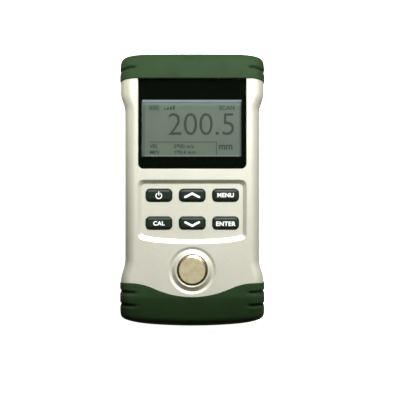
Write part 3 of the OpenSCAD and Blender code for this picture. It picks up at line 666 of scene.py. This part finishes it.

# Reflective display: a faint grid of dots inside a plain margin, with painted shadow in the side margins, a
# painted glare and a painted highlight line at the top, and a faint glow of painted light that is strongest
# there
lcd = {
    "field": rgb(102, 111, 100), "shade": rgb(97, 106, 95), "cloud": 9, "margin": 1.9,
    # sides: painted shadow of the lens border on the left and right margins
    "foot": rgb(118, 131, 122), "sides": rgb(86, 96, 89), "dot": 0.36, "gap": 0.16,
    # glare is a painted reflection, line a painted highlight, and glow painted light that lifts the lens
    # print's shadow at the top
    "grid": rgb(118, 128, 114), "gridShare": 0.5, "gridDepth": 0.002, "glare": rgb(114, 134, 145),
    "glareFrom": 2.9, "glareTo": 0.3, "glow": (0.04, 0.45), "line": rgb(172, 187, 195),
    "lineHeight": 0.75, "lineGlow": 0.35, "rough": (0.42, 0.5)}


def lcdGlass(lowest, highest, top):
    material, tree, coords = newMaterial("lcdGlass")
    axes = put(tree, "ShaderNodeSeparateXYZ", {0: coords}).outputs
    lines, inside = [], []
    for axis in (0, 1):
        cell = maths(tree, "FRACT", maths(tree, "DIVIDE", axes[axis], lcd["dot"] * mm))
        lines.append(maths(tree, "LESS_THAN", cell, lcd["gap"]))
        over = maths(tree, "GREATER_THAN", axes[axis], lowest[axis] + lcd["margin"] * mm)
        under = maths(tree, "LESS_THAN", axes[axis], highest[axis] - lcd["margin"] * mm)
        inside.append(times(tree, over, under))
    across, along = inside
    active = times(tree, across, along)
    grid = times(tree, maths(tree, "MAXIMUM", *lines), active)
    cloud = between(tree, noise(tree, coords, lcd["cloud"], 2), 0, 1)
    field = mix(tree, cloud, lcd["field"], lcd["shade"])
    field = mix(tree, along, lcd["foot"], field)
    # painted shadow of the lens border on the left and right margins
    field = mix(tree, across, lcd["sides"], field)
    # painted reflection: a bluish glare that fades in towards the top
    glare = between(tree, axes[1], 0, 1, (top - lcd["glareFrom"]) * mm, (top - lcd["glareTo"]) * mm)
    field = mix(tree, glare, field, lcd["glare"])
    # painted highlight: a bright line along the top
    line = maths(tree, "GREATER_THAN", axes[1], (top - lcd["lineHeight"]) * mm)
    field = mix(tree, line, field, lcd["line"])
    colour = mix(tree, times(tree, grid, lcd["gridShare"]), field, lcd["grid"])
    # painted light: the panel glows faintly everywhere and more under the glare and the line, which lifts the
    # lens print's shadow
    lineGlow = times(tree, line, lcd["lineGlow"])
    glow = maths(tree, "ADD", between(tree, glare, *lcd["glow"], 0, 1), lineGlow)
    coat(tree, {
        "Base Color": colour, "Roughness": between(tree, cloud, *lcd["rough"], 0, 1),
        "Specular IOR Level": 0.3, "Emission Color": colour, "Emission Strength": glow,
        "Normal": bump(tree, grid, lcd["gridDepth"])})
    return material


lcdFinish = lcdGlass(*panelBox, window["high"])
lcdSteps = [{"width": 0.1, "where": everywhere}]
addPiece("lcdPanel", rounded("lcd_panel", lcdSteps), lcdFinish, ["lcd_panel"])

# Ink of the legends and marks: half its thickness, and capitals as a share of the letter size
ink = {"half": 0.02, "capital": 0.72, "resolution": 6}


# Lettering as a thin mesh: bold swells the strokes
def letters(text, height, place, bold, align="CENTER", stretch=1.0, spacing=1.0):
    curve = bpy.data.curves.new("letters", "FONT")
    curve.body, curve.size, curve.offset = text, height * mm / ink["capital"], bold * mm
    curve.align_x, curve.align_y = align, "CENTER"
    curve.extrude = ink["half"] * mm
    curve.resolution_u = ink["resolution"]
    curve.space_character = spacing
    mesh = bake(held("letters", curve))
    mesh.transform(Matrix.Translation(Vector(place) * mm) @ Matrix.Diagonal((stretch, 1, 1, 1)))
    return mesh


# Stroke of constant width along a line of points
def stroke(points, width, low, high, roundEnds=True, mitre=0.35):
    points = [np.array(p, float) for p in points]
    left, right = [], []
    for k, point in enumerate(points):
        before = points[k] - points[k - 1] if k else points[1] - points[0]
        after = points[k + 1] - points[k] if k + 1 < len(points) else before
        before, after = before / norm(before), after / norm(after)
        normal = np.array([-(before + after)[1], (before + after)[0]])
        normal = normal / norm(normal)
        reach = width / 2 / max(mitre, normal @ np.array([-before[1], before[0]]))
        left.append(point + normal * reach)
        right.append(point - normal * reach)
    ends = [[], []]
    if roundEnds:
        for place, centre, nearby in ((0, points[-1], points[-2]), (1, points[0], points[1])):
            way = centre - nearby
            angle = atan2(way[1], way[0])
            for k in range(1, 8):
                turn = angle + pi / 2 - pi * k / 8
                ends[place].append(centre + width / 2 * np.array([cos(turn), sin(turn)]))
    outline = left + ends[0] + right[::-1] + ends[1]
    return sheetMesh("stroke", [outline], low, high)


def joined(name, meshes):
    shape = bmesh.new()
    for mesh in meshes:
        shape.from_mesh(mesh)
        bpy.data.meshes.remove(mesh)
    result = bpy.data.meshes.new(name)
    shape.to_mesh(result)
    shape.free()
    return outward(result)


# Marks on the display: words as text, height, x, y, bold, side that x is on and stretch
marks = {
    "rise": 0.03,
    "words": [("200.5", 10.05, 19.2, 28.1, -0.11, "RIGHT", 0.974), ("SCAN", 1.9, 18.6, 35.7, 0.06, "RIGHT"),
              ("mm", 2.9, 14.6, 18.9, 0.12), ("VEL", 1.7, -18.6, 18.9, 0.05, "LEFT"),
              ("5900 m/s", 1.7, -8.0, 18.9, 0.05, "LEFT"), ("MIN", 1.7, -18.6, 16.3, 0.05, "LEFT"),
              ("198.4 mm", 1.7, -8.0, 16.3, 0.05, "LEFT")],
    "corner": [(-18.8, 20.8), (10.6, 20.8), (10.6, 15.2)], "cornerLine": 0.28,
    "cell": [(-18.6, 34.9), (-18.6, 36.7), (-14.6, 36.7), (-14.6, 34.9), (-18.8, 34.9)], "cellLine": 0.24,
    "charge": {"count": 3, "x": -18.2, "pitch": 1.1, "width": 0.8, "low": 35.3, "high": 36.3, "step": 0.0},
    "signal": {"count": 4, "x": -12.4, "pitch": 1.3, "width": 0.9, "low": 34.9, "high": 35.5, "step": 0.4}}
marksZ = panelBox[1].z / mm + marks["rise"]
marksLevels = (marksZ - ink["half"], marksZ + ink["half"])
lcdMarks = []
for text, height, x, y, *rest in marks["words"]:
    lcdMarks.append(letters(text, height, (x, y, marksZ), *rest))
for name in ("corner", "cell"):
    lcdMarks.append(stroke(marks[name], marks[name + "Line"], *marksLevels, False))
for bars in (marks["charge"], marks["signal"]):
    for k in range(bars["count"]):
        x = bars["x"] + bars["pitch"] * k
        outline = rectangle(x, bars["low"], x + bars["width"], bars["high"] + bars["step"] * k)
        lcdMarks.append(sheetMesh("bar", [outline], *marksLevels))
addPiece("lcdMarks", joined("lcdMarks", lcdMarks), lcdInk)
print("display made")

# Keys: rubber caps with white legends that follow their round edges
# Words are given as text, height and drop below the middle of the key
legends = {
    "words": {"menu": ("MENU", 1.85, 0.0), "cal": ("CAL", 1.85, 0.15), "enter": ("ENTER", 1.95, 0.35)},
    "bold": 0.06, "spacing": 1.06, "half": 0.03, "ring": 1.25, "ringDrop": 0.15, "ringGap": 38,
    "ringSteps": 24, "ringLine": 0.36, "bar": (0.15, 1.5), "chevron": (3.0, 0.72, 0.82, 0.9),
    "downDrop": 0.3}


def keyLegend(name, x, y, top):
    levels = (top - legends["half"], top + legends["half"])
    if name in legends["words"]:
        word, height, drop = legends["words"][name]
        return [letters(word, height, (x, y - drop, top), legends["bold"], spacing=legends["spacing"])]
    if name == "power":
        gap, steps, radius = legends["ringGap"], legends["ringSteps"], legends["ring"]
        turns = [radians(gap + (360 - 2 * gap) * k / steps) for k in range(steps + 1)]
        ring = [(x + radius * sin(a), y - legends["ringDrop"] + radius * cos(a)) for a in turns]
        bar = [(x, y + end) for end in legends["bar"]]
        return [stroke(points, legends["ringLine"], *levels) for points in (ring, bar)]
    rise = 1 if name == "up" else -1
    y -= legends["downDrop"] if name == "down" else 0.0
    half, foot, tip, width = legends["chevron"]
    chevron = [(x - half, y - foot * rise), (x, y + tip * rise), (x + half, y - foot * rise)]
    return [stroke(chevron, width, *levels)]


# How far a cap has fallen at a distance from its middle
def edgeFall(offset, half):
    over = max(0.0, abs(offset) - (half - keys["lip"] + keys["room"] - keys["edge"]))
    return keys["edge"] - sqrt(keys["edge"] ** 2 - over ** 2)


keySteps = [{"width": keys["bevel"], "where": aboveRecess, "angle": 25}]
for name, (lowest, highest) in keyBoxes.items():
    node = "key_" + name
    centre = (lowest + highest) / 2
    half = (highest - lowest) / 2
    addPiece("key" + name.capitalize(), rounded(node, keySteps), keyRubber, [node], node)
    legend = joined("legend", keyLegend(name, centre.x, centre.y, highest.z))
    for vertex in legend.vertices:
        away = vertex.co / mm - centre
        vertex.co.z -= max(edgeFall(away.x, half.x), edgeFall(away.y, half.y)) * mm
    addPiece("legend" + name.capitalize(), legend, legendInk, body=node)
print("keys made")

# Test block: a disc of turned steel, with fine rings about its axis and a polished chamfer
disc = {
    "chamfer": 1.0, "drop": 0.6, "fillet": 0.14, "colour": rgb(206, 197, 162),
    "stain": rgb(188, 177, 139), "stainSize": 2.6, "pitch": 0.16, "ringDepth": 0.0006, "wobble": 0.08,
    "wobbleSize": 1.5, "rough": (0.58, 0.68), "grain": 0.3, "polishedFrom": 5.65, "polish": 0.34}


def turnedSteel(centre):
    material, tree, coords = newMaterial("turnedSteel")
    centred = out(tree, "ShaderNodeMapping", {"Vector": coords, "Location": (-centre.x, -centre.y, 0)})
    flat = out(tree, "ShaderNodeVectorMath", {0: centred, 1: (1, 1, 0)}, operation="MULTIPLY")
    radius = put(tree, "ShaderNodeVectorMath", {0: flat}, operation="LENGTH").outputs["Value"]
    wobble = times(tree, noise(tree, coords, disc["wobbleSize"], 2), disc["wobble"] * mm)
    turns = times(tree, maths(tree, "ADD", radius, wobble), 2 * pi / (disc["pitch"] * mm))
    rings = between(tree, maths(tree, "SINE", turns), 0, 1, -1, 1)
    stain = between(tree, noise(tree, coords, disc["stainSize"], 4), 0, 1)
    colour = mix(tree, stain, disc["colour"], disc["stain"])
    polished = maths(tree, "GREATER_THAN", radius, disc["polishedFrom"] * mm)
    lapped = between(tree, noise(tree, coords, disc["grain"], 2), *disc["rough"])
    rough = maths(tree, "SUBTRACT", lapped, times(tree, polished, disc["polish"]))
    coat(tree, {
        "Base Color": colour, "Metallic": 1.0, "Roughness": rough,
        "Normal": bump(tree, rings, disc["ringDepth"])})
    return material


radius = (blockBox[1].x - blockBox[0].x) / 2 / mm
low, high = blockBox[0].z / mm, blockBox[1].z / mm
profile = [(axisGap, low), (radius, low), (radius, high - disc["drop"]), (radius - disc["chamfer"], high),
           (axisGap, high)]
turned = lathe("testBlock", fillet(profile, disc["fillet"]), (blockCentre.x / mm, blockCentre.y / mm))
addPiece("testBlock", shade(turned, 50), turnedSteel(blockCentre), ["test_block"])

# Probe sockets, eased at their mouths
socketSteps = [{"width": 0.12, "where": lambda p: p.y > zones["socketMouth"]}]
for side in ("Left", "Right"):
    node = "probe_socket_" + side.lower()
    addPiece("probeSocket" + side, rounded(node, socketSteps), socketMetal, [node])

# Cells in a printed sleeve, whose rim, band and stripe are measured from the button end
cell = {
    "sleeve": rgb(38, 74, 50), "shade": rgb(34, 68, 46), "cloud": 5, "rim": rgb(205, 205, 200),
    "rimTo": 2.2, "band": rgb(196, 172, 110), "bandTo": 13.0, "stripe": rgb(226, 226, 214),
    "stripeFrom": 14.0, "stripeTo": 15.0, "rough": (0.24, 0.34), "grain": 0.4, "relief": 0.004}


def cellSleeve(name, buttonEnd, direction):
    material, tree, coords = newMaterial(name)
    along = put(tree, "ShaderNodeSeparateXYZ", {0: coords}).outputs["Y"]
    fromButton = times(tree, maths(tree, "SUBTRACT", buttonEnd, along), direction / mm)
    rim = maths(tree, "LESS_THAN", fromButton, cell["rimTo"])
    band = maths(tree, "LESS_THAN", fromButton, cell["bandTo"])
    past = maths(tree, "GREATER_THAN", fromButton, cell["stripeFrom"])
    stripe = times(tree, past, maths(tree, "LESS_THAN", fromButton, cell["stripeTo"]))
    cloud = between(tree, noise(tree, coords, cell["cloud"]), 0, 1)
    colour = mix(tree, cloud, cell["sleeve"], cell["shade"])
    colour = mix(tree, band, colour, cell["band"])
    colour = mix(tree, stripe, colour, cell["stripe"])
    colour = mix(tree, rim, colour, cell["rim"])
    grain = noise(tree, coords, cell["grain"])
    coat(tree, {
        "Base Color": colour, "Roughness": between(tree, grain, *cell["rough"]), "Metallic": 0.25,
        "Normal": bump(tree, grain, cell["relief"])})
    return material


cellSteps = [{"width": 0.15, "where": everywhere}]
for side, direction in (("Left", 1), ("Right", -1)):
    node = "battery_" + side.lower()
    lowest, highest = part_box(node)
    sleeve = cellSleeve("cellSleeve" + side, highest.y if direction > 0 else lowest.y, direction)
    addPiece("cell" + side, rounded(node, cellSteps), sleeve, [node])
print("test block, sockets and cells made")


# Node trees for what repeats: named inputs for the sizes, then a plain mesh
def newTree(name, inputs):
    tree = bpy.data.node_groups.new(name, "GeometryNodeTree")
    tree.is_modifier = True
    tree.interface.new_socket("Geometry", in_out="INPUT", socket_type="NodeSocketGeometry")
    tree.interface.new_socket("Geometry", in_out="OUTPUT", socket_type="NodeSocketGeometry")
    for kind, labels in inputs.items():
        for label in labels:
            tree.interface.new_socket(label, in_out="INPUT", socket_type="NodeSocket" + kind)
    return tree, tree.nodes.new("NodeGroupInput").outputs


def onEachPoint(tree, points, shape, rotation):
    inputs = {"Points": points, "Instance": shape, "Rotation": rotation}
    placed = out(tree, "GeometryNodeInstanceOnPoints", inputs)
    whole = out(tree, "GeometryNodeRealizeInstances", {"Geometry": placed})
    coated = out(tree, "GeometryNodeSetMaterial", {"Geometry": whole, "Material": platedSteel})
    put(tree, "NodeGroupOutput", {"Geometry": coated})


def runTree(tree, points, sizes):
    seeds = bpy.data.meshes.new("seeds")
    seeds.from_pydata(points, [], [])
    holder = held(tree.name, seeds)
    modifier = holder.modifiers.new("tree", "NODES")
    modifier.node_group = tree
    for item in tree.interface.items_tree:
        if item.in_out == "INPUT" and item.name in sizes:
            modifier[item.identifier] = sizes[item.name]
    return outward(bake(holder))


# Wire of the given size wound about +Z, its rise eased at both ends
def woundWire(tree, turns, base, tip, height, wire, steps):
    spiral = {"Resolution": steps, "Rotations": turns, "Start Radius": base, "End Radius": tip, "Height": 0.0}
    path = out(tree, "GeometryNodeCurveSpiral", spiral)
    place = put(tree, "GeometryNodeSplineParameter").outputs["Factor"]
    eased = out(tree, "ShaderNodeMapRange", {"Value": place}, interpolation_type="SMOOTHSTEP")
    blended = out(tree, "ShaderNodeMix", {0: 0.5, 2: place, 3: eased})
    rise = xyz(tree, Z=times(tree, blended, height))
    lifted = out(tree, "GeometryNodeSetPosition", {"Geometry": path, "Offset": rise})
    ring = out(tree, "GeometryNodeCurvePrimitiveCircle", {"Resolution": 12, "Radius": wire})
    tube = {"Curve": lifted, "Profile Curve": ring, "Fill Caps": True}
    return out(tree, "GeometryNodeCurveToMesh", tube)


# Battery springs: a cone of wire on each seat, pointing at its cell
spring = {"Turns": 3.0, "Base": 4.6 * mm, "Tip": 3.2 * mm, "Height": 4.0 * mm, "Wire": 0.3 * mm, "Steps": 26}
tree, given = newTree("batterySprings", {
    "Float": ["Turns", "Base", "Tip", "Height", "Wire"], "Int": ["Steps"]})
coil = woundWire(tree, *(given[key] for key in spring))
position = out(tree, "GeometryNodeInputPosition")
side = put(tree, "ShaderNodeSeparateXYZ", {0: position}).outputs["X"]
towards = xyz(tree, Y=times(tree, side, -1.0))
turn = out(tree, "FunctionNodeAlignRotationToVector", {"Vector": towards}, axis="Z")
onEachPoint(tree, given["Geometry"], coil, turn)
low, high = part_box("battery_springs")
reach = spring["Base"] + spring["Wire"]
middle = (low.z + high.z) / 2
seats = [(low.x + reach, low.y + spring["Wire"], middle), (high.x - reach, high.y - spring["Wire"], middle)]
springs = runTree(tree, seats, spring)
addPiece("batterySprings", shade(springs, 50), platedSteel, ["battery_springs"])

# Screws: a turned blank with a cross cut in its head and a thread on its shank, one on each point
screwKinds = {
    "caseScrews": {"node": "case_screws", "head": 2.3, "headHeight": 1.6, "shank": 1.25, "pitch": 0.9},
    "boardScrews": {"node": "board_screws", "head": 2.0, "headHeight": 1.2, "shank": 1.1, "pitch": 0.7}}
screw = {
    "core": 0.8, "neck": 0.6, "runOut": 0.2, "point": 0.5, "pointShare": 0.6, "fillet": 0.35,
    "slotLength": 1.25, "slotWidth": 0.26, "slotDepth": 0.5, "threadFrom": 0.3, "threadShort": 1.0,
    "ridge": 0.16, "mostTurn": 1.4, "steps": 22, "seed": 7}


def screwTree():
    tree, given = newTree("crossScrews", {
        "Object": ["Blank"], "Float": ["Slot length", "Slot width", "Slot depth", "Thread", "Thread start",
                                       "Thread length", "Turns"], "Int": ["Steps", "Seed"]})
    blank = put(tree, "GeometryNodeObjectInfo", {"Object": given["Blank"]}).outputs["Geometry"]
    deep = times(tree, given["Slot depth"], 2.0)
    headed = put(tree, "GeometryNodeMeshBoolean", {"Mesh 1": blank}, operation="DIFFERENCE", solver="EXACT")
    for first, second in (("Slot length", "Slot width"), ("Slot width", "Slot length")):
        size = xyz(tree, X=given[first], Y=given[second], Z=deep)
        slot = out(tree, "GeometryNodeMeshCube", {"Size": size})
        tree.links.new(slot, headed.inputs["Mesh 2"])
    ridge = times(tree, given["Thread"], screw["ridge"])
    radius = maths(tree, "SUBTRACT", given["Thread"], ridge)
    thread = woundWire(tree, given["Turns"], radius, radius, given["Thread length"], ridge, given["Steps"])
    start = xyz(tree, Z=given["Thread start"])
    thread = out(tree, "GeometryNodeTransform", {"Geometry": thread, "Translation": start})
    whole = put(tree, "GeometryNodeJoinGeometry", {0: headed.outputs[0]})
    tree.links.new(thread, whole.inputs[0])
    drawn = {"Seed": given["Seed"], 2: 0.0, 3: screw["mostTurn"]}
    angle = put(tree, "FunctionNodeRandomValue", drawn).outputs[1]
    onEachPoint(tree, given["Geometry"], whole.outputs[0], xyz(tree, Z=angle))
    return tree


crossScrews = screwTree()
for name, kind in screwKinds.items():
    low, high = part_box(kind["node"])
    head, headHeight, shank = kind["head"], kind["headHeight"], kind["shank"]
    length = (high.z - low.z) / mm
    core, neck = screw["core"] * shank, headHeight + screw["neck"]
    threadLength = length - neck - screw["threadShort"]
    profile = [(axisGap, 0), (head, 0), (head, headHeight), (shank, headHeight), (shank, neck),
               (core, neck + screw["runOut"]), (core, length - screw["point"]),
               (screw["pointShare"] * core, length), (axisGap, length)]
    blank = held("screwBlank", lathe("screwBlank", fillet(profile, screw["fillet"]), (0, 0), 48))
    sizes = {"Blank": blank, "Slot length": screw["slotLength"] * head * mm,
             "Slot width": screw["slotWidth"] * head * mm, "Slot depth": screw["slotDepth"] * headHeight * mm,
             "Thread": shank * mm, "Thread start": (neck + screw["threadFrom"]) * mm,
             "Thread length": threadLength * mm, "Turns": threadLength / kind["pitch"],
             "Steps": screw["steps"], "Seed": screw["seed"]}
    edge = head * mm
    points = [(x, y, low.z) for x in (low.x + edge, high.x - edge) for y in (low.y + edge, high.y - edge)]
    screws = runTree(crossScrews, points, sizes)
    bpy.data.objects.remove(blank)
    addPiece(name, shade(screws), platedSteel, [kind["node"]])
print("springs and screws made")

# Pieces whose CAD shape is already right take a finish only
finishes = {
    "lens_gasket": foamBlack, "lcd_backlight": whitePlastic, "lcd_holder": whitePlastic,
    "zebra_strips": contactRubber, "main_board": boardGreen, "board_components": blackPlastic,
    "keypad_mat": keyRubber, "socket_insulators": whitePlastic, "socket_nuts": platedSteel,
    "probe_leads": blackPlastic, "battery_plates": platedSteel}
for node, finish in finishes.items():
    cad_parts[node].data.materials.clear()
    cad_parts[node].data.materials.append(finish)

# Pale floor that is clear from below
ground = {
    "half": 2.0, "z": -0.1 * mm, "colour": (0.9, 0.9, 0.9, 1), "shade": (0.88, 0.88, 0.88, 1),
    "rough": (0.7, 0.8), "grain": 2, "relief": 0.002,
    "sockets": {"Emission Color": (1, 1, 1, 1), "Emission Strength": 0.97}}
floorMesh = bpy.data.meshes.new("floor")
corners = rectangle(-ground["half"], -ground["half"], ground["half"], ground["half"])
floorMesh.from_pydata([(x, y, ground["z"]) for x, y in corners], [], [(0, 1, 2, 3)])
floor = held("floor", floorMesh)
floorFinish = grained("floorFinish", ground)
tree = floorFinish.node_tree
surface = tree.nodes["Material Output"].inputs["Surface"]
above = surface.links[0].from_socket
below = out(tree, "ShaderNodeBsdfTransparent")
underside = put(tree, "ShaderNodeNewGeometry").outputs["Backfacing"]
sides = put(tree, "ShaderNodeMixShader", {0: underside, 1: above, 2: below})
tree.links.new(sides.outputs[0], surface)
floorMesh.materials.append(floorFinish)
floor.visible_diffuse = False
floor.visible_glossy = False

# Soft light from beyond the top end, a warm fill at the right and a small lamp at the left
lamps = {
    "keyLight": {"place": (0.08, 0.31, 0.295), "target": (0, 0, 0.02), "size": 0.25, "power": 4.9,
                 "colour": (1.0, 0.997, 1.055), "inGloss": True},
    "fillLight": {"place": (0.6, -0.05, 0.3), "target": (0, 0, 0.02), "size": 0.4, "power": 0.8,
                  "colour": (1.0, 0.88, 0.6), "inGloss": False},
    "sideLight": {"place": (-0.1, 0.045, 0.045), "target": (-0.03, 0.045, 0.02), "size": 0.05,
                  "power": 0.053, "colour": (1.0, 0.98, 0.86), "inGloss": False}}
for name, lamp in lamps.items():
    light = bpy.data.lights.new(name, "AREA")
    light.shape, light.size = "SQUARE", lamp["size"]
    light.energy, light.color = lamp["power"], lamp["colour"]
    holder = held(name, light)
    holder.location = lamp["place"]
    way = Vector(lamp["target"]) - Vector(lamp["place"])
    holder.rotation_euler = way.to_track_quat("-Z", "Y").to_euler()
    holder.visible_camera = False
    holder.visible_glossy = lamp["inGloss"]

# Dim room that brightens towards the key light and below, before a plain white backdrop
room = {
    "towards": (0.1, 0.9, 0.3), "dim": (0.03, 0.026, 0.012, 1), "bright": (0.34, 0.34, 0.34, 1),
    "below": (0.6, 0.59, 0.46, 1), "backdrop": (0.97, 0.97, 0.97, 1), "brightSpan": (0.1, 0.9),
    "belowSpan": (-0.85, -0.45)}
world = bpy.data.worlds.new("studio")
scene.world = world
world.use_nodes = True
tree = world.node_tree
tree.nodes.clear()
look = put(tree, "ShaderNodeTexCoord").outputs["Generated"]
facing = put(tree, "ShaderNodeVectorMath", {0: look, 1: room["towards"]}, operation="DOT_PRODUCT")
bright = between(tree, facing.outputs["Value"], 0.0, 1.0, *room["brightSpan"])
tint = mix(tree, bright, room["dim"], room["bright"])
height = put(tree, "ShaderNodeSeparateXYZ", {0: look}).outputs["Z"]
tint = mix(tree, between(tree, height, 1.0, 0.0, *room["belowSpan"]), tint, room["below"])
seen = put(tree, "ShaderNodeLightPath").outputs["Is Camera Ray"]
tint = mix(tree, seen, tint, room["backdrop"])
sky = put(tree, "ShaderNodeBackground", {"Color": tint, "Strength": 1.0})
put(tree, "ShaderNodeOutputWorld", {"Surface": sky.outputs[0]})
scene.view_settings.view_transform = "Standard"

# Camera straight above: distance from the front face and offset in mm, and mm per pixel there
studio = {"distance": 450.0, "pixel": 0.4337, "picture": 400, "offset": (3.39, -4.46), "sensor": 36}
lensData = bpy.data.cameras.new("camera")
lensData.sensor_width = studio["sensor"]
lensData.lens = studio["sensor"] * studio["distance"] / studio["pixel"] / studio["picture"]
camera = held("camera", lensData)
camera.location = Vector((*studio["offset"], hull["thickness"] + studio["distance"])) * mm
scene.camera = camera
print("stage set")
